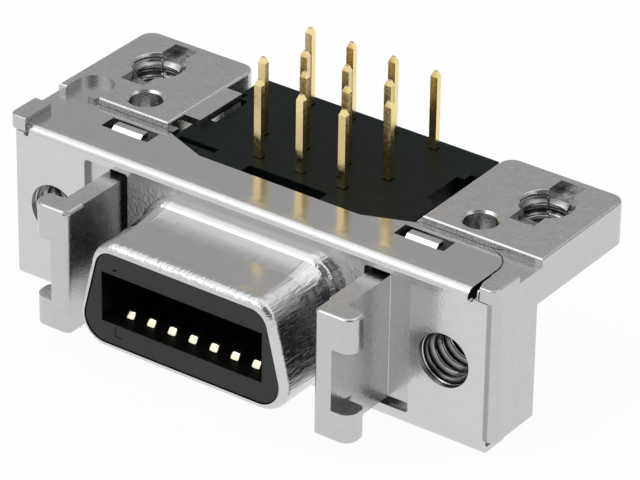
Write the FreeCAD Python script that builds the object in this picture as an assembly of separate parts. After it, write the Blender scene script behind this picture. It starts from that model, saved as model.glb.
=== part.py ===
import FreeCAD, Part
import os
from math import cos, hypot, radians, tan

# A right-angle mini delta ribbon receptacle with 14 contacts, lying with its tails upward.
# X runs along the width, -Y is the mating side, +Z is the board side, all in millimetres.
# The parts are drawn with the front of the panel plate at zero depth. When they are saved,
# they move so that the origin is under the middle of the whole, at the height of its lowest face.

# Shell sheet
sheet = 0.30
bend_outer = 0.47
bend_inner = bend_outer - sheet
bend_gap = 0.05
axis_z = 4.48
plate_half = 14.20
plate_end_top = 8.40
flange_top = 8.77
flange_under = flange_top - sheet
flange_left = -plate_half + 0.80
flange_right = plate_half - 1.12
flange_rear = 3.95
flange_middle_rear = 2.83
flange_corner = 1.50
cutback_half = 4.85
cutback_end = 7.70
cutback_round = 0.60
bottom_flange_rear = 1.90
relief_width = 0.32
relief_bottom = 8.23
relief_round = 0.144

# Openings in the shell
screw_from_end = 2.36
screw_x = plate_half - screw_from_end
screw_radius = 1.45
window_inner = 7.15
window_width = 2.71
window_outer = window_inner + window_width
window_bottom = 0.77
window_top = 8.15
window_corner = 0.20
lance_centres = (-9.20, 8.63)
lance_opening = (2.90, 1.02)
lance_front = 2.36
lance_tongue_width = 1.82
lance_tongue_offset = 0.14
lance_tongue_rear = 2.96
lance_rise = 0.17
lance_slope = 0.20
lance_round = 0.08
overlap = 0.01

# Drawn nose, given by its outer surface
nose_front = -5.10
nose_half_height = 2.96
nose_half_width = 6.02
nose_lean = 14.0
nose_top_corner = 1.40
nose_bottom_corner = 1.65
lip_inset = 0.40
collar_step = 0.36
collar_front = -0.92
collar_round = 0.70
collar_seat = -0.40
flare_steps = ((-0.50, 0.20), (-0.90, 0.13), (-1.50, 0.045), (-2.40, 0.0))

# Insulator
insulator_front = -5.04
insulator_inset = 0.46
insulator_half = window_inner + 0.25
insulator_rear = 3.90
cavity_half_width = 4.84
cavity_half_height = 1.38
cavity_rear = -0.80
arm_inner = 6.50
arm_outer = 7.15
arm_rear = 11.30
arm_top = 6.45
arm_post_front = 9.60
arm_gap = 0.05
passage_gap = 0.15

# Tail locator
locator_flange_gap = 0.16
locator_top = 8.67
locator_under = 7.35
locator_front = 2.60
locator_rear = 11.42
locator_half = 7.20
locator_shallow = (6.85, 5.95, 9.50)
locator_deep = (6.40, 6.25, 8.93)
locator_front_notch = (-2.40, 2.33, 3.72)
locator_slit = (-6.90, -4.55, 3.65, 4.05)
tail_clearance = 0.05

# Contacts
contact_pitch = 1.27
contacts_per_row = 7
contact_width = 0.42
contact_thick = 0.32
contact_tip_front = -4.12
contact_bump = 0.36
bump_crest = 0.28
bump_end = 0.90
bump_round = 0.12
tip_chamfer = 0.08
contact_bend_inner = 0.25
tail_tip_z = 12.98
tail_taper = 0.28
tail_tip_share = 0.45
upper_tail_rows = (4.67, 6.70)
lower_tail_rows = (8.50, 10.66)

# Cast brackets, written for the right side and mirrored for the left
cast_inner = insulator_half
cast_overhang = 0.46
cast_outer = plate_half + cast_overhang
cast_front = sheet
cast_rear = 3.67
cast_bottom = 0.63
cast_corner = 0.45
ledge_top = 8.75
recess_gaps = {"left": 0.02, "right": 0.08}
recess_rear_gap = 0.02
recess_mouth = cast_outer - 1.24
recess_taper = (0.50, 2.00)
recess_depth = 0.80
ledge_round = 0.15
slot_under_top = 1.12
slot_under_end = window_outer + 0.10
slot_over_depth = 1.50
pocket_gap = 0.05
pocket_depth = 0.70
post_thick = 1.07
post_outer = cast_inner + post_thick
post_front = -4.45
post_bottom = 1.05
post_top = 7.85
hook_reach = 1.13
hook_outer = post_outer + hook_reach
hook_rear = -3.15
hook_gap = (2.61, 5.99)
hook_nose_round = 0.65
hook_back_round = 0.35
post_corner = 0.30
post_edge = 0.16
screw_sink = 0.10
pad_inner = cast_inner + 0.30
pad_front = 4.00
pad_rear = 11.48
pad_corner = 0.75
pad_top = 9.15
pad_under = 6.85
pad_edge = 0.12
peg_x = 10.16
peg_y = 5.40
peg_radius = 0.85
board_screw_y = 8.66
channel_half = 0.71
channel_front = 6.38
channel_rear = 11.00
channel_depth = 0.47
lip_width = 1.06
lip_inner = cast_outer - lip_width
lip_rear = 2.05
lip_bottom = plate_end_top + 0.05
lip_top = 9.18
lip_round = 0.08
lip_cut = (0.20, 0.80)

# Features of the left bracket alone
tab_reach = 6.72
tab_front = 5.37
tab_rear = 8.90
tab_top = 9.05
gate_x = -cast_outer + 1.54
gate_y = 4.95
gate_radius = 1.05
gate_nub_x = gate_x + 0.50
gate_nub_y = 4.42
gate_nub_radius = 0.38
gate_nub_height = 0.22


def at_xy(z):
    """Maps flat points into the plane of constant z."""
    return lambda u, v: FreeCAD.Vector(u, v, z)


def at_xz(y):
    """Maps flat points into the plane of constant y."""
    return lambda u, v: FreeCAD.Vector(u, y, v)


def at_yz(x):
    """Maps flat points into the plane of constant x."""
    return lambda u, v: FreeCAD.Vector(x, u, v)


def corner_arc(before, corner, after, radius):
    """Returns where the round of a corner starts, its middle and where it ends."""
    ux, uy = before[0] - corner[0], before[1] - corner[1]
    vx, vy = after[0] - corner[0], after[1] - corner[1]
    ul, vl = hypot(ux, uy), hypot(vx, vy)
    ux, uy, vx, vy = ux / ul, uy / ul, vx / vl, vy / vl
    half_cos = ((1 + ux * vx + uy * vy) / 2) ** 0.5
    half_sin = ((1 - ux * vx - uy * vy) / 2) ** 0.5
    reach = radius * half_cos / half_sin
    bx, by = ux + vx, uy + vy
    bl = hypot(bx, by)
    middle = radius / half_sin - radius
    start = (corner[0] + ux * reach, corner[1] + uy * reach)
    mid = (corner[0] + bx / bl * middle, corner[1] + by / bl * middle)
    end = (corner[0] + vx * reach, corner[1] + vy * reach)
    return start, mid, end


def outline(corners, place):
    """Closed wire through corners (u, v, radius), each one rounded to its radius."""
    edges = []
    stops = []
    count = len(corners)
    for i, corner in enumerate(corners):
        if corner[2] > 0:
            arc = corner_arc(corners[i - 1], corner, corners[(i + 1) % count], corner[2])
            edges.append(Part.Arc(*[place(*point) for point in arc]).toShape())
            stops.append((arc[0], arc[2]))
        else:
            stops.append((corner[:2], corner[:2]))
    for i in range(count):
        start, end = place(*stops[i][1]), place(*stops[(i + 1) % count][0])
        if start.distanceToPoint(end) > 1e-6:
            edges.append(Part.LineSegment(start, end).toShape())
    return Part.Wire(Part.__sortEdges__(edges))


def prism(corners, place, along):
    """Solid made by moving a rounded outline along a vector."""
    return Part.Face(outline(corners, place)).extrude(FreeCAD.Vector(*along))


def box(x0, x1, y0, y1, z0, z1):
    """Block between two values on each axis."""
    return Part.makeBox(x1 - x0, y1 - y0, z1 - z0, FreeCAD.Vector(x0, y0, z0))


def mirrored(shape):
    """The same shape on the other side of the middle plane."""
    return shape.mirror(FreeCAD.Vector(0, 0, 0), FreeCAD.Vector(1, 0, 0))


def vertical_edges(shape, x, y):
    """Upright edges of a shape at one place in plan."""
    found = []
    for edge in shape.Edges:
        box_of = edge.BoundBox
        upright = box_of.XLength < 1e-6 and box_of.YLength < 1e-6
        if upright and abs(box_of.XMin - x) < 1e-4 and abs(box_of.YMin - y) < 1e-4:
            found.append(edge)
    return found


def edges_at_height(shape, z):
    """Edges that lie wholly at one height."""
    return [e for e in shape.Edges if e.BoundBox.ZLength < 1e-6 and abs(e.BoundBox.ZMin - z) < 1e-5]


def level_edges(shape, y, z, x0, x1):
    """Edges along X at one height and depth whose ends lie between two values."""
    found = []
    for edge in shape.Edges:
        b = edge.BoundBox
        level = b.YLength < 1e-6 and b.ZLength < 1e-6
        if level and abs(b.YMin - y) < 1e-4 and abs(b.ZMin - z) < 1e-4:
            if b.XMin > x0 - 1e-4 and b.XMax < x1 + 1e-4:
                found.append(edge)
    return found


def nose_corners(grow):
    """Corners of the D outline, grown outward from the nose's outer surface."""
    lean = tan(radians(nose_lean))
    half_width = nose_half_width + grow / cos(radians(nose_lean))
    half_height = nose_half_height + grow
    top_half = half_width - half_height * lean
    bottom_half = half_width + half_height * lean
    top, bottom = axis_z + half_height, axis_z - half_height
    top_round, bottom_round = nose_top_corner + grow, nose_bottom_corner + grow
    return [(-bottom_half, bottom, bottom_round), (bottom_half, bottom, bottom_round),
            (top_half, top, top_round), (-top_half, top, top_round)]


def nose_block(grow, y0, y1):
    """Solid D between two depths."""
    return prism(nose_corners(grow), at_xz(y0), (0, y1 - y0, 0))


def edges_in_plane(shape, y):
    """Edges that lie wholly at one depth."""
    return [e for e in shape.Edges if e.BoundBox.YLength < 1e-6 and abs(e.BoundBox.YMin - y) < 1e-5]


def flange_corners():
    """Plan of the top flange with its cut-back middle and rounded rear corners."""
    rear = flange_rear
    return [(flange_left, -1.0, 0), (flange_right, -1.0, 0), (flange_right, rear, flange_corner),
            (cutback_end, rear, cutback_round), (cutback_half, flange_middle_rear, cutback_round / 2),
            (-cutback_half, flange_middle_rear, cutback_round / 2), (-cutback_end, rear, cutback_round),
            (flange_left, rear, flange_corner)]


def shell_plate():
    """Panel plate with its bottom flange, and the top flange on a tighter width."""
    lower = prism([(bottom_flange_rear, 0, 0), (0, 0, bend_outer), (0, plate_end_top, 0),
                   (sheet, plate_end_top, 0), (sheet, sheet, bend_inner), (bottom_flange_rear, sheet, 0)],
                  at_yz(-plate_half), (2 * plate_half, 0, 0))
    upper = prism([(0, window_top, 0), (0, flange_top, bend_outer), (flange_rear, flange_top, 0),
                   (flange_rear, flange_under, 0), (sheet, flange_under, bend_inner), (sheet, window_top, 0)],
                  at_yz(flange_left), (flange_right - flange_left, 0, 0))
    plan = prism(flange_corners(), at_xy(window_top - 1), (0, 0, 3))
    return lower.fuse(upper.common(plan))


def bend_relief(x0, x1, edge_z, way):
    """Wedge that clears the inner round of one of the shell's bends."""
    leg = bend_inner + bend_gap
    return prism([(sheet, edge_z, 0), (sheet + leg, edge_z, 0), (sheet, edge_z - way * leg, 0)],
                 at_yz(x0), (x1 - x0, 0, 0))


def drawn_nose():
    """Nose with its collar and front lip, still solid inside."""
    nose = nose_block(0, nose_front, sheet / 2)
    nose = nose.makeFillet(bend_outer, edges_in_plane(nose, nose_front))
    collar = nose_block(collar_step, collar_front, sheet / 2)
    collar = collar.makeFillet(collar_round, edges_in_plane(collar, collar_front))
    return nose.fuse(nose_flare()).fuse(collar)


def nose_flare():
    """Gentle widening of the nose towards its collar."""
    rings = [outline(nose_corners(grow), at_xz(y)) for y, grow in flare_steps]
    return Part.makeLoft(rings, True, False)


def lance_openings():
    """Openings of both lances in the top flange."""
    width, depth = lance_opening
    cuts = []
    for centre in lance_centres:
        cuts.append(box(centre - width / 2, centre + width / 2, lance_front, lance_front + depth,
                        flange_under - 1, flange_top + 1))
    return cuts


def lance_tongues():
    """Tongues left in the openings, bent up over the flange."""
    slope_end = lance_front + lance_slope
    high_top, high_under = flange_top + lance_rise, flange_under + lance_rise
    root = lance_front - overlap
    section = [(root, flange_top, 0), (slope_end, high_top, lance_round), (lance_tongue_rear, high_top, 0),
               (lance_tongue_rear, high_under, 0), (slope_end, high_under, 0), (root, flange_under, 0)]
    start = lance_tongue_offset - lance_tongue_width / 2
    return [prism(section, at_yz(centre + start), (lance_tongue_width, 0, 0)) for centre in lance_centres]


def front_shell():
    """Stamped shell: plate, both flanges, drawn nose, windows, screw holes and lances."""
    shell = shell_plate().fuse(drawn_nose())
    shell = shell.cut(nose_block(-sheet, nose_front + sheet, 2 * sheet))
    shell = shell.cut(nose_block(-lip_inset, nose_front - 1, 0))
    shell = shell.cut(nose_block(collar_step - sheet, collar_seat, 2 * sheet))
    for side in (-1, 1):
        hole = Part.makeCylinder(screw_radius, 2, FreeCAD.Vector(side * screw_x, -1, axis_z),
                                 FreeCAD.Vector(0, 1, 0))
        x0, x1 = sorted((side * window_inner, side * window_outer))
        window = prism([(x0, window_bottom, window_corner), (x1, window_bottom, window_corner),
                        (x1, window_top, window_corner), (x0, window_top, window_corner)],
                       at_xz(-1), (0, 2, 0))
        edge = flange_left if side < 0 else flange_right
        relief_ends = sorted((edge, edge + side * relief_width))
        relief = prism([(relief_ends[0], relief_bottom, relief_round),
                        (relief_ends[1], relief_bottom, relief_round),
                        (relief_ends[1], flange_top + 1, 0), (relief_ends[0], flange_top + 1, 0)],
                       at_xz(-1), (0, 2, 0))
        shell = shell.cut(hole).cut(window).cut(relief)
    for cut in lance_openings():
        shell = shell.cut(cut)
    for tongue in lance_tongues():
        shell = shell.fuse(tongue)
    return shell.removeSplitter()


def contact_levels(upper):
    """Height of the contact's inner face at the cavity, and the way its bump points."""
    way = -1 if upper else 1
    return axis_z - way * cavity_half_height, way


def contact(x, tail_y, upper):
    """One formed contact: bump, ribbon beam, bend and square tail."""
    face, way = contact_levels(upper)
    back = face - way * contact_thick
    bump = face + way * contact_bump
    tip = contact_tip_front
    near, far = tail_y - contact_thick / 2, tail_y + contact_thick / 2
    outer_bend = contact_bend_inner + contact_thick
    bump_side = [(tip, face, 0), (tip + bump_crest, bump, bump_round), (tip + bump_end, face, 0)]
    back_side = [(tip + bump_end - 0.10, back, 0), (tip + bump_crest, face - way * tip_chamfer, 0)]
    tail = [(near, tail_tip_z - tail_taper, 0),
            (tail_y - contact_thick / 2 * tail_tip_share, tail_tip_z, 0),
            (tail_y + contact_thick / 2 * tail_tip_share, tail_tip_z, 0),
            (far, tail_tip_z - tail_taper, 0)]
    if upper:
        profile = bump_side + [(far, face, outer_bend)] + tail[::-1] + [(near, back, contact_bend_inner)]
    else:
        profile = bump_side + [(near, face, contact_bend_inner)] + tail + [(far, back, outer_bend)]
    profile += back_side
    body = prism(profile, at_yz(x - contact_width / 2), (contact_width, 0, 0))
    half, narrow = contact_width / 2, contact_width / 2 * tail_tip_share
    front_view = prism([(x - half, 0, 0), (x + half, 0, 0), (x + half, tail_tip_z - tail_taper, 0),
                        (x + narrow, tail_tip_z, 0), (x - narrow, tail_tip_z, 0),
                        (x - half, tail_tip_z - tail_taper, 0)],
                       at_xz(contact_tip_front - 1), (0, locator_rear - contact_tip_front + 2, 0))
    return body.common(front_view)


def contact_places():
    """Name, x, tail depth and row of each contact."""
    places = []
    for row, upper, tails in (("upper", True, upper_tail_rows), ("lower", False, lower_tail_rows)):
        for i in range(contacts_per_row):
            x = (i - (contacts_per_row - 1) / 2) * contact_pitch
            places.append((f"{row}_contact_{i + 1}", x, tails[1] if i % 2 == 0 else tails[0], upper))
    return places


def contact_passage(x, upper):
    """Groove in the cavity wall and the passage behind it for one contact."""
    face, way = contact_levels(upper)
    z0, z1 = sorted((face, face - way * contact_thick))
    half = contact_width / 2
    return box(x - half, x + half, contact_tip_front - passage_gap, insulator_rear + 1, z0, z1)


def insulator():
    """Moulded body: nose block, rear block, side arms, mating cavity and contact passages."""
    body = nose_block(-insulator_inset, insulator_front, 2 * sheet)
    body = body.fuse(box(-insulator_half, insulator_half, sheet, insulator_rear, sheet, flange_under))
    body = body.cut(box(-insulator_half - 1, insulator_half + 1, locator_front, insulator_rear + 1,
                        locator_under, flange_top))
    for side in (-1, 1):
        x0, x1 = sorted((side * arm_inner, side * arm_outer))
        arm = box(x0, x1, bottom_flange_rear + arm_gap, arm_rear, 0, arm_top)
        post = box(x0, x1, arm_post_front, arm_rear, 0, locator_under)
        body = body.fuse(arm).fuse(post)
    z0, z1 = axis_z - cavity_half_height, axis_z + cavity_half_height
    body = body.cut(box(-cavity_half_width, cavity_half_width, insulator_front - 1, cavity_rear, z0, z1))
    body = body.cut(bend_relief(-insulator_half, insulator_half, flange_under, 1))
    body = body.cut(bend_relief(-insulator_half, insulator_half, sheet, -1))
    for name, x, tail_y, upper in contact_places():
        body = body.cut(contact_passage(x, upper))
    return body.removeSplitter()


def tail_locator():
    """Flat plate that holds the tails at their pitch, notched at both sides."""
    shallow_x, shallow_front, shallow_rear = locator_shallow
    deep_x, deep_front, deep_rear = locator_deep
    right = [(locator_half, locator_front), (locator_half, shallow_front), (shallow_x, shallow_front),
             (shallow_x, deep_front), (deep_x, deep_front), (deep_x, deep_rear), (shallow_x, deep_rear),
             (shallow_x, shallow_rear), (locator_half, shallow_rear), (locator_half, locator_rear)]
    left = [(-x, y) for x, y in reversed(right)]
    height = locator_top - locator_under
    plate = prism([(x, y, 0) for x, y in right + left], at_xy(locator_under), (0, 0, height))
    x0, x1, notch_rear = locator_front_notch
    plate = plate.cut(box(x0, x1, locator_front - 1, notch_rear, locator_under - 1, locator_top + 1))
    x0, x1, y0, y1 = locator_slit
    plate = plate.cut(box(x0, x1, y0, y1, locator_under - 1, locator_top + 1))
    under_flange = prism(flange_corners(), at_xy(flange_under), (0, 0, 1))
    under_flange.translate(FreeCAD.Vector(0, locator_flange_gap, 0))
    plate = plate.cut(under_flange)
    half_x = contact_width / 2 + tail_clearance
    half_y = contact_thick / 2 + tail_clearance
    for name, x, tail_y, upper in contact_places():
        plate = plate.cut(box(x - half_x, x + half_x, tail_y - half_y, tail_y + half_y,
                              locator_under - 1, locator_top + 1))
    return plate


def rounded_edge_cut(x0, x1, y, z, radius):
    """What a round takes off an upper front edge along X."""
    corner = box(x0, x1, y - 1, y + radius, z - radius, z + 1)
    return corner.cut(Part.makeCylinder(radius, x1 - x0, FreeCAD.Vector(x0, y + radius, z - radius),
                                        FreeCAD.Vector(1, 0, 0)))


def recess_side(near):
    """Inner edge of the ledge beside the flange, wide at the front and close at the rear."""
    mouth = max(recess_mouth, near)
    return [(mouth, -1, 0), (mouth, recess_taper[0], 0), (near, recess_taper[1], 0)]


def cast_block(flange_end, gap):
    """Block behind the panel plate with the ledge beside the shell's flange."""
    block = box(cast_inner, cast_outer, cast_front, cast_rear, cast_bottom, flange_under)
    ledge = box(cast_inner, cast_outer, cast_front, pad_front + 0.5, flange_under, ledge_top)
    side = recess_side(flange_end + gap)
    rear = flange_rear + recess_rear_gap
    recess = prism([(0, -1, 0)] + side + [(flange_end + gap, rear, flange_corner), (0, rear, 0)],
                   at_xy(flange_under - 0.5), (0, 0, 2))
    ledge = ledge.cut(recess)
    front_round = rounded_edge_cut(cast_inner, lip_inner + lip_cut[0], cast_front, ledge_top, ledge_round)
    block = block.fuse(ledge.cut(front_round))
    block = block.makeFillet(cast_corner, vertical_edges(block, cast_outer, cast_front))
    inner = flange_end - recess_depth / 4
    groove = prism([(inner, -1, 0)] + side + [(inner, recess_taper[1], 0)],
                   at_xy(flange_under - recess_depth), (0, 0, 2 * recess_depth))
    slot_under = box(cast_inner - 1, slot_under_end, cast_front - 1, cast_rear + 1,
                     cast_bottom - 1, slot_under_top)
    slot_over = box(cast_inner - 1, post_outer, cast_front - 1, slot_over_depth, post_top, flange_top)
    relief = bend_relief(cast_inner, flange_end, flange_under, 1)
    return block.cut(slot_under).cut(slot_over).cut(groove).cut(relief)


def latch_post():
    """Flat post with an outward hook at its top and bottom."""
    height = post_top - post_bottom
    stem = box(cast_inner, post_outer, hook_rear, cast_front + 0.5, post_bottom, post_top)
    plan = [(cast_inner, post_front, post_corner), (hook_outer, post_front, hook_nose_round),
            (hook_outer, hook_rear, hook_back_round), (post_outer + 0.1, hook_rear, 0.10),
            (post_outer, hook_rear + 0.4, 0), (cast_inner, hook_rear + 0.4, 0)]
    hooks = prism(plan, at_xy(post_bottom), (0, 0, height))
    front_edges = [e for e in edges_at_height(hooks, post_top) if e.BoundBox.YMax < hook_rear]
    hooks = hooks.makeFillet(post_edge, front_edges)
    mouth = box(post_outer, hook_outer + 1, post_front - 1, 0, hook_gap[0], hook_gap[1])
    return stem.fuse(hooks.cut(mouth))


def board_pad():
    """Raised pad behind the block, which carries the board, with its hole for a locating peg."""
    lower = prism([(pad_inner, cast_rear - 0.5, 0), (cast_outer, cast_rear - 0.5, 0),
                   (cast_outer, pad_rear, pad_corner), (pad_inner, pad_rear, pad_corner)],
                  at_xy(pad_under), (0, 0, flange_under - pad_under))
    upper = prism([(pad_inner, pad_front, 0), (cast_outer, pad_front, 0),
                   (cast_outer, pad_rear, pad_corner), (pad_inner, pad_rear, pad_corner)],
                  at_xy(flange_under), (0, 0, pad_top - flange_under))
    upper = upper.makeFillet(pad_edge, edges_at_height(upper, pad_top))
    up = FreeCAD.Vector(0, 0, 1)
    peg = Part.makeCylinder(peg_radius, 4, FreeCAD.Vector(peg_x, peg_y, pad_under - 1), up)
    rim = Part.makeCone(peg_radius, peg_radius + pad_edge, pad_edge,
                        FreeCAD.Vector(peg_x, peg_y, pad_top - pad_edge), up)
    return lower.fuse(upper).cut(peg).cut(rim)


def outer_lip():
    """Small wall on the outer edge of the block, level with the pad."""
    wall = prism([(lip_inner, 0, 0), (cast_outer, 0, cast_corner), (cast_outer, lip_rear, 0),
                  (lip_inner, lip_rear, 0)], at_xy(lip_bottom), (0, 0, lip_top - lip_bottom))
    front_edge = level_edges(wall, 0, lip_top, lip_inner, cast_outer)
    return wall.makeFillet(lip_round, front_edge)


def screw_hole_cuts():
    """Jackscrew hole with its sink, board screw hole, and the channel that crosses the latter."""
    along_y, along_z = FreeCAD.Vector(0, 1, 0), FreeCAD.Vector(0, 0, 1)
    jack = Part.makeCylinder(screw_radius, cast_rear + 1, FreeCAD.Vector(screw_x, -0.5, axis_z), along_y)
    jack_sink = Part.makeCone(screw_radius + screw_sink, screw_radius, screw_sink,
                              FreeCAD.Vector(screw_x, cast_front, axis_z), along_y)
    board = Part.makeCylinder(screw_radius, 4, FreeCAD.Vector(screw_x, board_screw_y, pad_under - 1), along_z)
    channel = box(screw_x - channel_half, screw_x + channel_half, channel_front, channel_rear,
                  pad_top - channel_depth, pad_top + 1)
    return [jack, jack_sink, board, channel]


def bracket(flange_end, gap):
    """Right-hand casting before the features that differ between the sides."""
    body = cast_block(flange_end, gap).fuse(board_pad()).fuse(latch_post()).fuse(outer_lip())
    for cut in screw_hole_cuts():
        body = body.cut(cut)
    return body


def lance_pocket(centre):
    """Pocket in the casting's top below an opening of the shell's flange."""
    half = lance_opening[0] / 2 + pocket_gap
    return box(centre - half, centre + half, lance_front - pocket_gap,
               lance_front + lance_opening[1] + pocket_gap, flange_under - pocket_depth, flange_under + 1)


def right_bracket():
    """Right-hand casting, whose lip is cut away at its inner front corner."""
    width, depth = lip_cut
    wedge = prism([(lip_inner - 0.1, -0.1, 0), (lip_inner + width, -0.1, 0), (lip_inner - 0.1, depth, 0)],
                  at_xy(lip_bottom - 0.1), (0, 0, 2))
    body = bracket(flange_right, recess_gaps["right"]).cut(wedge).cut(lance_pocket(lance_centres[1]))
    return body.removeSplitter()


def left_bracket():
    """Left-hand casting with its holding tab and the broken casting gate."""
    body = mirrored(bracket(-flange_left, recess_gaps["left"])).cut(lance_pocket(lance_centres[0]))
    tab = box(-pad_inner - 0.5, -tab_reach, tab_front, tab_rear, locator_top, tab_top)
    up = FreeCAD.Vector(0, 0, 1)
    gate = Part.makeCylinder(gate_radius, 1, FreeCAD.Vector(gate_x, gate_y, ledge_top), up)
    mouth = box(gate_x - gate_radius, gate_x + gate_radius, pad_front - 1, gate_y, ledge_top, ledge_top + 1)
    nub = Part.makeCylinder(gate_nub_radius, gate_nub_height + 0.2,
                            FreeCAD.Vector(gate_nub_x, gate_nub_y, ledge_top - 0.2), up)
    return body.fuse(tab).cut(gate).cut(mouth).fuse(nub).removeSplitter()


def save(name, shape):
    """Moves one sub-part into the shared frame, writes it and prints its state."""
    shape.translate(FreeCAD.Vector(0, -(nose_front + pad_rear) / 2, 0))
    shape.exportStep(f"parts/{name}.step")
    print(name, "solids", len(shape.Solids), "valid", shape.isValid(), "volume", round(shape.Volume, 3))


def main():
    os.makedirs("parts", exist_ok=True)
    save("front_shell", front_shell())
    save("left_bracket", left_bracket())
    save("right_bracket", right_bracket())
    save("insulator", insulator())
    save("tail_locator", tail_locator())
    for name, x, tail_y, upper in contact_places():
        save(name, contact(x, tail_y, upper))


main()
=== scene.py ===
import math

import bmesh
import bpy
from mathutils import Matrix, Vector


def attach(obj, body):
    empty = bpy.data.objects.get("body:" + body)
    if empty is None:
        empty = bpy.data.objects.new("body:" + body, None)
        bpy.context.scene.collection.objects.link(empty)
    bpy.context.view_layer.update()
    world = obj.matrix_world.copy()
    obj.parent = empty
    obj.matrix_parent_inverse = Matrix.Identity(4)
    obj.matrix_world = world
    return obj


MM = 0.001
MICRON = 0.000001

# Camera, in the frame's millimetres and in degrees
CAMERA_AZIMUTH = 35.391
CAMERA_ELEVATION = 30.025
CAMERA_ROLL = 0.891
CAMERA_DISTANCE = 220.6
CAMERA_ASIDE = (3.798, 5.894)
CAMERA_ORIGIN = (0.0, -3.19, 0.15)
CAMERA_LENS = 251.55
CAMERA_CLIP = (0.01, 20.0)
SENSOR = 36.0

# Screw holes, in millimetres: depths are counted from the front of the panel plate, heights from
# the rest face
PANEL_Y = -3.19
SCREW_X = 11.84
SCREW_Z = 4.48
BOARD_SCREW_Y = 8.66
JACK_SPAN = (0.42, 3.64)
BOARD_SPAN = (6.88, 9.14)
CHANNEL_FLOOR = 8.66
CHANNEL_HALF = 0.71
SINK_TOP = 9.15
SINK_DEPTH = 0.33

# Threads: radius of root and crest, pitch, radius of the sleeve's buried back, and the shares of
# half a pitch that the flat of the root and the flank take up
THREAD_ROOT = 1.43
THREAD_CREST = 1.12
THREAD_PITCH = 0.635
BURIED = 1.47
ROOT_FLAT = 0.16
FLANK = 0.66
AROUND = 96
ROWS_PER_TURN = 20

# Corner between the latch post and the casting's face: places of the two, height, and its round
POST_SIDE = 8.47
CAST_FACE = 0.30
POST_SPAN = (1.13, 7.84)
CORNER_ROUND = 0.06
CORNER_BURIED = 0.02
CORNER_STEPS = 8

# Rounded tips of the contacts: pitch, number in a row, middle and slope of the lower ones in y
# and z, half sizes along width, length and thickness, and the power of their superellipse
CONTACT_PITCH = 1.27
PER_ROW = 7
TIP_PLACE = (-7.20, 3.24)
TIP_SLOPE = (0.61, 0.79)
TIP_HALF = (0.255, 0.235, 0.075)
TIP_POWER = 4.0
TIP_AROUND = 24
TIP_RINGS = 12

# Mould marks on the insulator's face: how they stand in it, and strokes of x0, z0, x1, z1 and
# half width
FACE_Y = -5.04
MARK_RISE = 0.018
MARK_SUNK = 0.01
MARK_TAPER = 0.55
TOP_MARK = ((-4.14, 6.13, -3.90, 6.19, 0.05),)
BOTTOM_MARK = ((-4.05, 2.45, -3.96, 2.99, 0.02), (-4.05, 2.45, -3.60, 2.45, 0.02))

# Places with a look of their own, as spans along x (to either side), y and z in the frame's
# millimetres; None leaves an axis free
NOSE_EDGE = (None, (-8.4, -7.65), (6.6, 7.6))
NOSE_CORNERS = ((4.6, 7.6), (-8.4, -3.4), (3.0, 7.6))
FLANGE_BEND = (None, (-3.4, -2.3), (8.4, 9.3))
PAD_CHANNEL = ((SCREW_X - 0.80, SCREW_X + 0.80), (3.1, 7.9), (8.0, 8.72))
PAD_STEP = ((7.6, 14.2), (0.70, 0.86), (8.80, 9.04))
SCREW_CONE = (None, (2.0, 9.0), (SINK_TOP - SINK_DEPTH, 9.5))
CAVITY = ((-4.9, 4.9), (-8.1, -3.0), (2.9, 6.1))
CONTACT_BEAM = (None, (-6.50, 0.50), (2.0, 7.0))

# Along y: where the tips' painted highlight of pale gold sets in, and where jackscrew holes end and
# board holes begin
TIP_HIGHLIGHT_FADE = (-6.50, -6.70)
JACK_TO_BOARD = (2.0, 2.2)

# Colours: a pair is mixed by noise
SHELL_TINTS = ((0.58, 0.58, 0.585), (0.64, 0.64, 0.645))
CASTING_TINTS = ((0.52, 0.52, 0.525), (0.58, 0.58, 0.585))
TAPPED_TINTS = ((0.30, 0.30, 0.305), (0.52, 0.52, 0.525))
CONE_TINT = (0.48, 0.48, 0.485)
INSULATOR_TINTS = ((0.012, 0.014, 0.014), (0.022, 0.024, 0.024))
LOCATOR_TINTS = ((0.002, 0.005, 0.0048), (0.005, 0.009, 0.0085))
# Deeper black of the mould marks: painted shade, as of a recess
MARK_SHADE_TINTS = ((0.001, 0.001, 0.001), (0.003, 0.003, 0.003))
GOLD_TINTS = ((0.84, 0.66, 0.30), (0.93, 0.78, 0.42))
# Pale gold of the tips: a painted highlight
TIP_HIGHLIGHT_TINT = (0.96, 0.93, 0.68)

# What is left of a colour where shade is painted into it
CHANNEL_SHADE_LEFT = 0.42
STEP_SHADE_LEFT = 0.30
ROOT_SHADE_LEFT = 0.05
CAVITY_SHADE_LEFT = 0.1
BEAM_SHADE_LEFT = 0.03

# Painted shade in the roots of the threads: how far outside the crest it begins, and its share in
# the board's holes and on the left, against 1 in the right jackscrew hole
ROOT_SHADE_FADE = 0.20
BOARD_ROOT_SHADE = 0.5
LEFT_ROOT_SHADE = 0.4

# Floor: half its side and its drop in metres, its grey, and the share that shows as plain white
FLOOR_HALF = 3.0
FLOOR_DROP = 0.00001
FLOOR_GREY = 0.95
FLOOR_WHITE = 0.95

# Brightness of the sky by height (0 at the horizon, 1 overhead), in front and behind
FRONT_SKY = ((0.0, 1.0), (0.10, 1.0), (0.20, 0.80), (0.36, 1.0), (0.52, 1.12), (0.67, 1.32),
             (0.88, 1.45), (1.0, 1.05))
REAR_SKY = ((0.0, 1.0), (0.10, 1.0), (0.20, 0.42), (0.50, 0.46), (0.61, 0.50), (0.68, 1.00),
            (0.85, 1.42), (1.0, 1.05))
REAR_WAY = (-0.35, 0.94, 0.0)
REAR_EDGE = (-0.10, 0.15)

# Dark opening of the studio: its direction, the cosines where it starts and is full, what is left
DARK_WAY = (0.48, -0.42, 0.77)
DARK_EDGE = (0.83, 0.90)
DARK_SKY = 0.14

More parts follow.
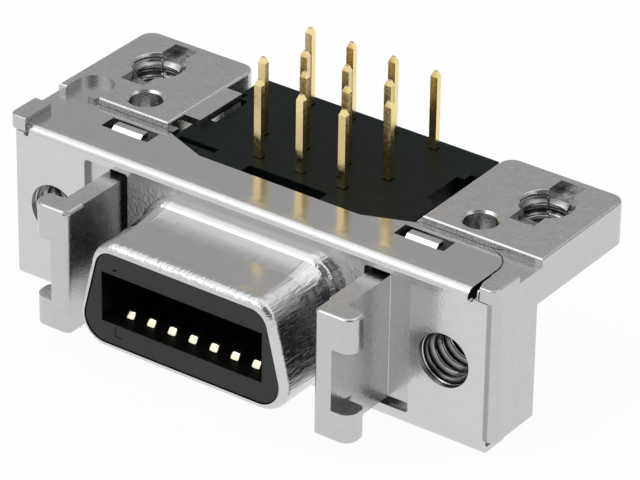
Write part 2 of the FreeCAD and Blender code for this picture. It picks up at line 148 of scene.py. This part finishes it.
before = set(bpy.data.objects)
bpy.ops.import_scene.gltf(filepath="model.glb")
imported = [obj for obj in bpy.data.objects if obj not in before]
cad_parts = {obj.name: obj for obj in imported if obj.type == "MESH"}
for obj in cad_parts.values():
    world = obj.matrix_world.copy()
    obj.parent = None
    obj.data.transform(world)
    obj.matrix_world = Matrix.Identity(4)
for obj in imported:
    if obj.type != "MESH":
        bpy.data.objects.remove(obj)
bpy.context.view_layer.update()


# ---------- node helpers ----------

def add(tree, kind, **values):
    node = tree.nodes.new(kind)
    for key, value in values.items():
        setattr(node, key, value)
    return node


def where_is(tree):
    """Object position and its three parts, in metres."""
    where = add(tree, "ShaderNodeTexCoord").outputs["Object"]
    parts = add(tree, "ShaderNodeSeparateXYZ")
    tree.links.new(where, parts.inputs[0])
    return where, tuple(parts.outputs[axis] for axis in "XYZ")


def noise(tree, where, scale, detail=2.0, stretch=None):
    node = add(tree, "ShaderNodeTexNoise")
    node.inputs["Scale"].default_value = scale
    node.inputs["Detail"].default_value = detail
    if stretch:
        mapping = add(tree, "ShaderNodeMapping")
        mapping.inputs["Scale"].default_value = stretch
        tree.links.new(where, mapping.inputs["Vector"])
        where = mapping.outputs["Vector"]
    tree.links.new(where, node.inputs["Vector"])
    return node.outputs["Fac"]


def ramp(tree, value, low, high, out_low=0.0, out_high=1.0):
    node = add(tree, "ShaderNodeMapRange")
    numbers = {"From Min": low, "From Max": high, "To Min": out_low, "To Max": out_high}
    for key, number in numbers.items():
        node.inputs[key].default_value = number
    tree.links.new(value, node.inputs["Value"])
    return node.outputs["Result"]


def calc(tree, operation, first, second=0.0):
    """Math node on two sockets or numbers."""
    node = add(tree, "ShaderNodeMath", operation=operation)
    for socket, value in zip(node.inputs, (first, second)):
        if isinstance(value, float):
            socket.default_value = value
        else:
            tree.links.new(value, socket)
    return node.outputs[0]


def bump(tree, height, distance, strength, normal=None):
    node = add(tree, "ShaderNodeBump")
    node.inputs["Strength"].default_value = strength
    node.inputs["Distance"].default_value = distance
    tree.links.new(height, node.inputs["Height"])
    if normal:
        tree.links.new(normal, node.inputs["Normal"])
    return node.outputs["Normal"]


def mix(tree, factor, first, second):
    """Mix of two colours, each a socket or three numbers."""
    node = add(tree, "ShaderNodeMix", data_type="RGBA")
    tree.links.new(factor, node.inputs["Factor"])
    for key, color in (("A", first), ("B", second)):
        if isinstance(color, tuple):
            node.inputs[key].default_value = (*color, 1.0)
        else:
            tree.links.new(color, node.inputs[key])
    return node.outputs["Result"]


def scaled(tree, color, factor):
    node = add(tree, "ShaderNodeVectorMath", operation="SCALE")
    tree.links.new(color, node.inputs[0])
    tree.links.new(factor, node.inputs["Scale"])
    return node.outputs[0]


def weigh(tree, factor, at_zero, at_one):
    """Number between two values, by a factor from 0 to 1."""
    return ramp(tree, factor, 0.0, 1.0, at_zero, at_one)


def darken(tree, color, left, factor):
    """Scales a colour down to what is left of it where factor is 1."""
    return scaled(tree, color, weigh(tree, factor, 1.0, left))


def between(tree, value, low, high, soft):
    """1 between two places in millimetres, 0 outside, with soft ends."""
    rise = ramp(tree, value, (low - soft) * MM, low * MM)
    fall = ramp(tree, value, high * MM, (high + soft) * MM, 1.0, 0.0)
    return calc(tree, "MULTIPLY", rise, fall)


def region(tree, parts, spans, soft):
    """Product of three spans (low, high) in millimetres; None leaves an axis free."""
    total = None
    for value, span in zip(parts, spans):
        if span is None:
            continue
        inside = between(tree, value, span[0], span[1], soft)
        total = inside if total is None else calc(tree, "MULTIPLY", total, inside)
    return total


def either_side(tree, parts):
    """The same parts of a position with x as the distance from the middle."""
    return calc(tree, "ABSOLUTE", parts[0]), parts[1], parts[2]


# ---------- materials ----------

def new_material(name):
    mat = bpy.data.materials.new(name)
    mat.use_nodes = True
    tree = mat.node_tree
    return mat, tree, tree.nodes["Principled BSDF"]


def set_surface(tree, bsdf, color, rough, normal, metallic=1.0):
    tree.links.new(color, bsdf.inputs["Base Color"])
    tree.links.new(rough, bsdf.inputs["Roughness"])
    tree.links.new(normal, bsdf.inputs["Normal"])
    bsdf.inputs["Metallic"].default_value = metallic


def uneven(tree, where, scale, low, high, detail=2.0):
    """Roughness that wanders between two values."""
    return ramp(tree, noise(tree, where, scale, detail), 0.3, 0.7, low, high)


def shell_nickel():
    """Nickel on rolled and drawn sheet: faint waviness, fine grain, draw lines along the nose."""
    mat, tree, bsdf = new_material("shell_nickel")
    where, parts = where_is(tree)
    tint = mix(tree, noise(tree, where, scale=900.0, detail=3.0), *SHELL_TINTS)
    rough = uneven(tree, where, scale=2600.0, low=0.12, high=0.18)
    grain = bump(tree, noise(tree, where, scale=7000.0), distance=8 * MICRON, strength=0.3)
    waves = noise(tree, where, scale=420.0, detail=1.0)
    wavy = bump(tree, waves, distance=40 * MICRON, strength=0.3, normal=grain)
    edge = region(tree, parts, NOSE_EDGE, soft=0.35)
    corners = region(tree, either_side(tree, parts), NOSE_CORNERS, soft=0.5)
    worked = weigh(tree, calc(tree, "MAXIMUM", edge, corners), 0.04, 0.8)
    strokes = noise(tree, where, scale=6500.0, stretch=(1.0, 0.16, 1.0))
    lines = calc(tree, "MULTIPLY", strokes, worked)
    drawn = bump(tree, lines, distance=80 * MICRON, strength=0.7, normal=wavy)
    bend = region(tree, parts, FLANGE_BEND, soft=0.2)
    creases = calc(tree, "MULTIPLY", noise(tree, where, scale=9500.0), bend)
    folded = bump(tree, creases, distance=30 * MICRON, strength=0.4, normal=drawn)
    set_surface(tree, bsdf, tint, rough, folded)
    return mat


def casting_nickel():
    """Satin nickel on a zinc casting: orange peel, and painted shade, blotched in the pads' channels and
    specked on their front step.
    """
    mat, tree, bsdf = new_material("casting_nickel")
    where, parts = where_is(tree)
    parts = either_side(tree, parts)
    tint = mix(tree, noise(tree, where, scale=1500.0, detail=4.0), *CASTING_TINTS)
    # Painted shade, blotched, in the channel that crosses each pad
    blotches = ramp(tree, noise(tree, where, scale=3200.0, detail=3.0), 0.38, 0.62, 0.2, 1.0)
    channel = calc(tree, "MULTIPLY", region(tree, parts, PAD_CHANNEL, soft=0.05), blotches)
    tint = darken(tree, tint, CHANNEL_SHADE_LEFT, channel)
    # Painted shade, specked, on the front step of each pad
    specks = ramp(tree, noise(tree, where, scale=15000.0, detail=3.0), 0.35, 0.65)
    step = calc(tree, "MULTIPLY", region(tree, parts, PAD_STEP, soft=0.06), specks)
    tint = darken(tree, tint, STEP_SHADE_LEFT, step)
    rough = uneven(tree, where, scale=4000.0, low=0.20, high=0.28)
    peel = bump(tree, noise(tree, where, scale=9000.0), distance=20 * MICRON, strength=0.5)
    swells = noise(tree, where, scale=900.0)
    skin = bump(tree, swells, distance=40 * MICRON, strength=0.22, normal=peel)
    set_surface(tree, bsdf, tint, rough, skin)
    return mat


def hole_radius(tree, parts):
    """Distance from the axis of a screw hole, and 1 for a jackscrew hole or 0 for a board one."""
    x, y, z = either_side(tree, parts)
    board = ramp(tree, y, JACK_TO_BOARD[0] * MM, JACK_TO_BOARD[1] * MM)
    jack = calc(tree, "SUBTRACT", 1.0, board)
    aside = calc(tree, "SUBTRACT", x, SCREW_X * MM)
    above = calc(tree, "SUBTRACT", z, SCREW_Z * MM)
    behind = calc(tree, "SUBTRACT", y, (PANEL_Y + BOARD_SCREW_Y) * MM)
    across = calc(tree, "ADD", calc(tree, "MULTIPLY", jack, above), calc(tree, "MULTIPLY", board, behind))
    square = calc(tree, "ADD", calc(tree, "MULTIPLY", aside, aside), calc(tree, "MULTIPLY", across, across))
    return calc(tree, "SQRT", square), jack


def thread_nickel():
    """Tapped metal: painted shade between the crests, most of all in the right jackscrew hole, pale cones.
    """
    mat, tree, bsdf = new_material("thread_nickel")
    where, parts = where_is(tree)
    radius, jack = hole_radius(tree, parts)
    # Painted shade in the thread roots, weaker in the board holes and in the left hole
    root = ramp(tree, radius, THREAD_CREST * MM, (THREAD_CREST + ROOT_SHADE_FADE) * MM)
    root = calc(tree, "MULTIPLY", root, weigh(tree, jack, BOARD_ROOT_SHADE, 1.0))
    root = calc(tree, "MULTIPLY", root, ramp(tree, parts[0], -MM, MM, LEFT_ROOT_SHADE, 1.0))
    tapped = mix(tree, noise(tree, where, scale=2200.0, detail=3.0), *TAPPED_TINTS)
    tapped = darken(tree, tapped, ROOT_SHADE_LEFT, root)
    tint = mix(tree, region(tree, parts, SCREW_CONE, soft=0.03), tapped, CONE_TINT)
    rough = uneven(tree, where, scale=3000.0, low=0.16, high=0.30)
    grain = bump(tree, noise(tree, where, scale=5000.0), distance=12 * MICRON, strength=0.5)
    set_surface(tree, bsdf, tint, rough, grain)
    return mat


def black_plastic(name, tints, low, high, shine):
    """Moulded glass-filled plastic: satin black with faint flow clouds, a fine grain and painted shade deep
    in the nose's cavity.
    """
    mat, tree, bsdf = new_material(name)
    where, parts = where_is(tree)
    tint = mix(tree, noise(tree, where, scale=700.0, detail=4.0), *tints)
    # Painted shade deep in the nose's cavity
    tint = darken(tree, tint, CAVITY_SHADE_LEFT, region(tree, parts, CAVITY, soft=0.15))
    rough = uneven(tree, where, scale=2500.0, low=low, high=high, detail=3.0)
    grains = noise(tree, where, scale=9000.0, detail=3.0)
    grain = bump(tree, grains, distance=12 * MICRON, strength=0.5)
    set_surface(tree, bsdf, tint, rough, grain, metallic=0.0)
    bsdf.inputs["Specular IOR Level"].default_value = shine
    return mat


def contact_gold():
    """Gold plate on the tips and tails; the tips paler as a painted highlight, and painted shade, nearly
    black, on the beams between them.
    """
    mat, tree, bsdf = new_material("contact_gold")
    where, parts = where_is(tree)
    tint = mix(tree, noise(tree, where, scale=1800.0, detail=3.0), *GOLD_TINTS)
    # Painted highlight: the tips turn pale gold
    tip = ramp(tree, parts[1], TIP_HIGHLIGHT_FADE[0] * MM, TIP_HIGHLIGHT_FADE[1] * MM)
    tint = mix(tree, tip, tint, TIP_HIGHLIGHT_TINT)
    # Painted shade, nearly black, on the beams inside the cavity
    tint = darken(tree, tint, BEAM_SHADE_LEFT, region(tree, parts, CONTACT_BEAM, soft=0.12))
    rough = uneven(tree, where, scale=5000.0, low=0.14, high=0.26)
    grain = bump(tree, noise(tree, where, scale=3500.0), distance=10 * MICRON, strength=0.5)
    set_surface(tree, bsdf, tint, rough, grain)
    return mat


# ---------- pieces ----------

def link(obj):
    bpy.context.scene.collection.objects.link(obj)


def side_name(name, side):
    return name + ("_left" if side < 0 else "_right")


def mesh_object(name, verts, faces, material, smooth_angle):
    mesh = bpy.data.meshes.new(name)
    mesh.from_pydata(verts, [], faces)
    work = bmesh.new()
    work.from_mesh(mesh)
    bmesh.ops.recalc_face_normals(work, faces=work.faces)
    work.to_mesh(mesh)
    work.free()
    mesh.shade_smooth()
    mesh.set_sharp_from_angle(angle=math.radians(smooth_angle))
    mesh.materials.append(material)
    obj = bpy.data.objects.new(name, mesh)
    link(obj)
    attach(obj, "root")


def thread_radius(angle, along):
    """Inner radius of a threaded hole: a 60 degree thread with flats at crest and root."""
    phase = (along / THREAD_PITCH - angle / (2 * math.pi)) % 1.0
    slope = abs(2.0 * phase - 1.0)
    share = min(1.0, max(0.0, (slope - ROOT_FLAT) / FLANK))
    return THREAD_ROOT - (THREAD_ROOT - THREAD_CREST) * share


def sleeve(name, material, place, low, high_at, radius_at):
    """Threaded lining of a screw hole; place maps (radius, angle, along) to the frame."""
    rows = int((high_at(math.pi / 2) - low) / THREAD_PITCH * ROWS_PER_TURN)
    verts, faces = [], []
    for column in range(AROUND):
        angle = 2 * math.pi * column / AROUND
        high = high_at(angle)
        for row in range(rows + 1):
            along = low + (high - low) * row / rows
            verts.append(place(radius_at(angle, along), angle, along))
        verts.append(place(BURIED, angle, high))
        verts.append(place(BURIED, angle, low))
    ring = rows + 3
    for column in range(AROUND):
        here, there = column * ring, (column + 1) % AROUND * ring
        for row in range(ring):
            nxt = (row + 1) % ring
            faces.append((here + row, here + nxt, there + nxt, there + row))
    mesh_object(name, verts, faces, material, 70.0)


def jack_thread(side, material):
    """Thread of a jackscrew hole, from end to end of the casting behind the plate."""
    def place(radius, angle, along):
        return ((side * SCREW_X + radius * math.cos(angle)) * MM, (PANEL_Y + along) * MM,
                (SCREW_Z + radius * math.sin(angle)) * MM)

    def high_at(angle):
        return JACK_SPAN[1]

    sleeve(side_name("jack_thread", side), material, place, JACK_SPAN[0], high_at, thread_radius)


def board_thread(side, material):
    """Thread of a board screw hole, below its cone and below the channel that crosses it."""
    def place(radius, angle, along):
        return ((side * SCREW_X + radius * math.cos(angle)) * MM,
                (PANEL_Y + BOARD_SCREW_Y + radius * math.sin(angle)) * MM, along * MM)

    def high_at(angle):
        in_channel = abs(BURIED * math.cos(angle)) < CHANNEL_HALF
        return CHANNEL_FLOOR if in_channel else BOARD_SPAN[1]

    def radius_at(angle, along):
        cone = THREAD_ROOT + (THREAD_CREST - THREAD_ROOT) * (SINK_TOP - along) / SINK_DEPTH
        return max(thread_radius(angle, along), min(cone, THREAD_ROOT))

    sleeve(side_name("board_thread", side), material, place, BOARD_SPAN[0], high_at, radius_at)


def post_corner(side, material):
    """Small round in the corner between the latch post and the casting's face."""
    section = [(POST_SIDE - CORNER_BURIED, CAST_FACE + CORNER_BURIED),
               (POST_SIDE - CORNER_BURIED, CAST_FACE - CORNER_ROUND)]
    for i in range(CORNER_STEPS + 1):
        angle = math.pi / 2 * i / CORNER_STEPS
        section.append((POST_SIDE + CORNER_ROUND * (1 - math.cos(angle)),
                        CAST_FACE - CORNER_ROUND * (1 - math.sin(angle))))
    section.append((POST_SIDE + CORNER_ROUND, CAST_FACE + CORNER_BURIED))
    verts = [(side * x * MM, (PANEL_Y + y) * MM, height * MM) for height in POST_SPAN for x, y in section]
    count = len(section)
    faces = []
    for i in range(count):
        nxt = (i + 1) % count
        faces.append((i, nxt, count + nxt, count + i))
    faces.append(tuple(range(count)))
    faces.append(tuple(range(2 * count - 1, count - 1, -1)))
    mesh_object(side_name("post_corner", side), verts, faces, material, 50.0)


def tip_point(column, upper, across, along, out):
    """Point of a contact's tip, from its middle along its width, its slope and its thickness."""
    x = (column - (PER_ROW - 1) / 2) * CONTACT_PITCH + across
    y = TIP_PLACE[0] + TIP_SLOPE[0] * along - TIP_SLOPE[1] * out
    z = TIP_PLACE[1] + TIP_SLOPE[1] * along + TIP_SLOPE[0] * out
    return x * MM, y * MM, (2 * SCREW_Z - z if upper else z) * MM


def eased(value):
    """Sine or cosine of a superellipse, which squares the tip's outline."""
    return math.copysign(abs(value) ** (2.0 / TIP_POWER), value)


def contact_tips(material):
    """Rounded, coined tips over the sloped front of both contact rows."""
    wide, long, thick = TIP_HALF
    verts, faces = [], []
    for upper in (False, True):
        for column in range(PER_ROW):
            base = len(verts)
            verts.append(tip_point(column, upper, 0.0, 0.0, thick))
            for ring in range(1, TIP_RINGS):
                polar = math.pi * ring / TIP_RINGS
                for step in range(TIP_AROUND):
                    turn = 2 * math.pi * step / TIP_AROUND
                    verts.append(tip_point(column, upper,
                                           wide * eased(math.sin(polar)) * eased(math.cos(turn)),
                                           long * eased(math.sin(polar)) * eased(math.sin(turn)),
                                           thick * eased(math.cos(polar))))
            last = len(verts)
            verts.append(tip_point(column, upper, 0.0, 0.0, -thick))
            for step in range(TIP_AROUND):
                nxt = (step + 1) % TIP_AROUND
                faces.append((base, base + 1 + step, base + 1 + nxt))
                for ring in range(TIP_RINGS - 2):
                    here = base + 1 + ring * TIP_AROUND
                    there = here + TIP_AROUND
                    faces.append((here + step, there + step, there + nxt, here + nxt))
                here = base + 1 + (TIP_RINGS - 2) * TIP_AROUND
                faces.append((here + step, last, here + nxt))
    mesh_object("contact_tips", verts, faces, material, 60.0)


def mould_mark(name, strokes, material):
    """Raised witness line on the insulator's face, narrower at its top."""
    verts, faces = [], []
    for x0, z0, x1, z1, half in strokes:
        length = math.hypot(x1 - x0, z1 - z0)
        nx, nz = -(z1 - z0) / length * half, (x1 - x0) / length * half
        base = len(verts)
        for y, narrow in ((FACE_Y + MARK_SUNK, 1.0), (FACE_Y - MARK_RISE, MARK_TAPER)):
            for x, z, way in ((x0, z0, narrow), (x1, z1, narrow), (x1, z1, -narrow), (x0, z0, -narrow)):
                verts.append(((x + way * nx) * MM, (PANEL_Y + y) * MM, (z + way * nz) * MM))
        for a, b in ((0, 1), (1, 2), (2, 3), (3, 0)):
            faces.append((base + a, base + b, base + 4 + b, base + 4 + a))
        faces.append((base + 3, base + 2, base + 1, base))
        faces.append((base + 4, base + 5, base + 6, base + 7))
    mesh_object(name, verts, faces, material, 20.0)


# ---------- studio ----------

def show_white(tree, shader, share):
    """Mixes a plain white over a shader for what the camera, gloss and clear material see."""
    path = add(tree, "ShaderNodeLightPath").outputs
    seen = calc(tree, "MAXIMUM", path["Is Camera Ray"], path["Is Glossy Ray"])
    seen = calc(tree, "MAXIMUM", seen, path["Is Transmission Ray"])
    white = add(tree, "ShaderNodeEmission")
    white.inputs["Color"].default_value = (1.0, 1.0, 1.0, 1.0)
    white.inputs["Strength"].default_value = 1.0
    over = add(tree, "ShaderNodeMixShader")
    for socket, value in zip(over.inputs, (calc(tree, "MULTIPLY", seen, share), shader, white.outputs[0])):
        tree.links.new(value, socket)
    return over.outputs[0]


def make_floor():
    mesh = bpy.data.meshes.new("floor")
    half = FLOOR_HALF
    mesh.from_pydata([(-half, -half, 0), (half, -half, 0), (half, half, 0), (-half, half, 0)],
                     [], [(0, 1, 2, 3)])
    floor = bpy.data.objects.new("floor", mesh)
    floor.location.z = -FLOOR_DROP
    link(floor)
    mat, tree, bsdf = new_material("floor_pale")
    bsdf.inputs["Base Color"].default_value = (FLOOR_GREY, FLOOR_GREY, FLOOR_GREY, 1.0)
    bsdf.inputs["Roughness"].default_value = 0.9
    surface = show_white(tree, bsdf.outputs[0], FLOOR_WHITE)
    tree.links.new(surface, tree.nodes["Material Output"].inputs["Surface"])
    mesh.materials.append(mat)


def agreement(tree, where, way):
    """How closely a direction of the sky agrees with another one, as a cosine."""
    node = add(tree, "ShaderNodeVectorMath", operation="DOT_PRODUCT")
    tree.links.new(where, node.inputs[0])
    node.inputs[1].default_value = Vector(way).normalized()
    return node.outputs["Value"]


def grade(tree, value, stops):
    """Grey ramp through (place, brightness) stops, with places from 0 to 1."""
    node = add(tree, "ShaderNodeValToRGB")
    tree.links.new(value, node.inputs[0])
    places = node.color_ramp.elements
    for i, (place, bright) in enumerate(stops):
        stop = places[i] if i < 2 else places.new(place)
        stop.position = place
        stop.color = (bright, bright, bright, 1.0)
    return node.outputs["Color"]


def make_world():
    """Soft studio: pale at the horizon, bright overhead, grey behind, a dark opening in front."""
    world = bpy.data.worlds.new("studio")
    bpy.context.scene.world = world
    world.use_nodes = True
    tree = world.node_tree
    tree.nodes.clear()
    where = add(tree, "ShaderNodeTexCoord").outputs["Generated"]
    parts = add(tree, "ShaderNodeSeparateXYZ")
    tree.links.new(where, parts.inputs[0])
    height = parts.outputs["Z"]
    rear = ramp(tree, agreement(tree, where, REAR_WAY), *REAR_EDGE)
    color = mix(tree, rear, grade(tree, height, FRONT_SKY), grade(tree, height, REAR_SKY))
    opening = ramp(tree, agreement(tree, where, DARK_WAY), *DARK_EDGE, 1.0, DARK_SKY)
    sky = add(tree, "ShaderNodeBackground")
    tree.links.new(scaled(tree, color, opening), sky.inputs["Color"])
    out = add(tree, "ShaderNodeOutputWorld")
    tree.links.new(sky.outputs[0], out.inputs["Surface"])


def direction(azimuth, elevation):
    """Unit vector from the part towards a place given in degrees; azimuth 0 is before the nose."""
    a, e = math.radians(azimuth), math.radians(elevation)
    return Vector((math.sin(a) * math.cos(e), -math.cos(a) * math.cos(e), math.sin(e)))


def softbox(name, azimuth, elevation, distance, size, radiance):
    """Area lamp that looks at the part; sizes in metres, and radiance is how bright it looks."""
    way = direction(azimuth, elevation)
    data = bpy.data.lights.new(name, "AREA")
    data.shape = "RECTANGLE"
    data.size, data.size_y = size
    data.energy = radiance * math.pi * size[0] * size[1]
    lamp = bpy.data.objects.new(name, data)
    lamp.location = way * distance
    lamp.rotation_euler = way.to_track_quat("Z", "Y").to_euler()
    link(lamp)


def make_camera():
    """Camera of the photograph, with its roll and the shift of its axis from the part's origin."""
    a, r = math.radians(CAMERA_AZIMUTH), math.radians(CAMERA_ROLL)
    back = direction(CAMERA_AZIMUTH, CAMERA_ELEVATION)
    right = Vector((math.cos(a), math.sin(a), 0.0))
    up = back.cross(right)
    right, up = math.cos(r) * right + math.sin(r) * up, math.cos(r) * up - math.sin(r) * right
    place = (Vector(CAMERA_ORIGIN) + CAMERA_DISTANCE * back
             + CAMERA_ASIDE[0] * right + CAMERA_ASIDE[1] * up)
    data = bpy.data.cameras.new("camera")
    data.sensor_fit = "HORIZONTAL"
    data.sensor_width = SENSOR
    data.lens = CAMERA_LENS
    data.clip_start, data.clip_end = CAMERA_CLIP
    camera = bpy.data.objects.new("camera", data)
    matrix = Matrix.Identity(4)
    for i in range(3):
        matrix[i][0], matrix[i][1], matrix[i][2] = right[i], up[i], back[i]
        matrix[i][3] = place[i] * MM
    camera.matrix_world = matrix
    link(camera)
    bpy.context.scene.camera = camera


# ---------- assembly ----------

cast = casting_nickel()
gold = contact_gold()
looks = {
    "front_shell": shell_nickel(),
    "left_bracket": cast,
    "right_bracket": cast,
    "insulator": black_plastic("insulator_black", INSULATOR_TINTS, low=0.39, high=0.51, shine=0.30),
    "tail_locator": black_plastic("locator_black", LOCATOR_TINTS, low=0.34, high=0.46, shine=0.08),
}
for name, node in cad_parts.items():
    node.data.materials.clear()
    node.data.materials.append(looks.get(name, gold))

tapped = thread_nickel()
for side in (-1, 1):
    jack_thread(side, tapped)
    board_thread(side, tapped)
    post_corner(side, cast)
contact_tips(gold)
# The marks' black, deeper than the insulator's, is painted shade as of a recess
mark_shade_black = black_plastic("mark_shade_black", MARK_SHADE_TINTS, low=0.54, high=0.66, shine=0.05)
mould_mark("mould_mark_top", TOP_MARK, mark_shade_black)
mould_mark("mould_mark_bottom", BOTTOM_MARK, mark_shade_black)

make_floor()
make_world()
softbox("key", azimuth=-38, elevation=58, distance=0.5, size=(0.30, 0.24), radiance=1.4)
make_camera()
bpy.context.scene.view_settings.view_transform = "Standard"
